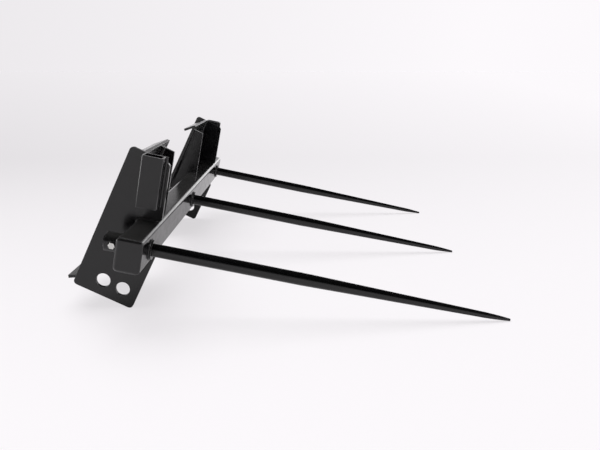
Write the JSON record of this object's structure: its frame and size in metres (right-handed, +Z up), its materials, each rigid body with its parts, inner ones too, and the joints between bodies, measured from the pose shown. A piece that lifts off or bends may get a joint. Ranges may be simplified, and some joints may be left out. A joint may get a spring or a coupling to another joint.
{
  "type": "bale spear",
  "caption": "Loader bale spear: tapered tines in sleeves through a box-section crossbar, with hooked coupler frames welded behind it.",
  "frame": {"origin": "on the floor under the middle of the part's box, as it rests on its tine tips and side plates", "axes": "+X along the crossbar to the operator's right, +Y forward along the tines as seen from above, +Z up"},
  "size_m": [1.562, 1.3928, 0.5227],
  "materials": {
    "frame_paint": "semi-gloss black paint",
    "tine_paint": "semi-gloss black paint on forged steel",
    "zinc_plate": "bright zinc plate"
  },
  "bodies": {
    "root": {"back_plate_left": "frame_paint", "back_plate_right": "frame_paint", "crossbar": "frame_paint", "end_cap_left": "frame_paint", "end_cap_right": "frame_paint", "gusset_left": "frame_paint", "gusset_right": "frame_paint", "hook_lip_left": "frame_paint", "hook_lip_right": "frame_paint", "side_plate_left": "frame_paint", "side_plate_right": "frame_paint", "stake_socket_left": "frame_paint", "stake_socket_right": "frame_paint", "tine_bolt_center": "zinc_plate", "tine_bolt_left": "zinc_plate", "tine_bolt_right": "zinc_plate", "tine_center": "tine_paint", "tine_left": "tine_paint", "tine_nut_center": "zinc_plate", "tine_nut_left": "zinc_plate", "tine_nut_right": "zinc_plate", "tine_right": "tine_paint", "tine_sleeve_center": "frame_paint", "tine_sleeve_left": "frame_paint", "tine_sleeve_right": "frame_paint", "wedge_lip_left": "frame_paint", "wedge_lip_right": "frame_paint"}
  },
  "joints": []
}
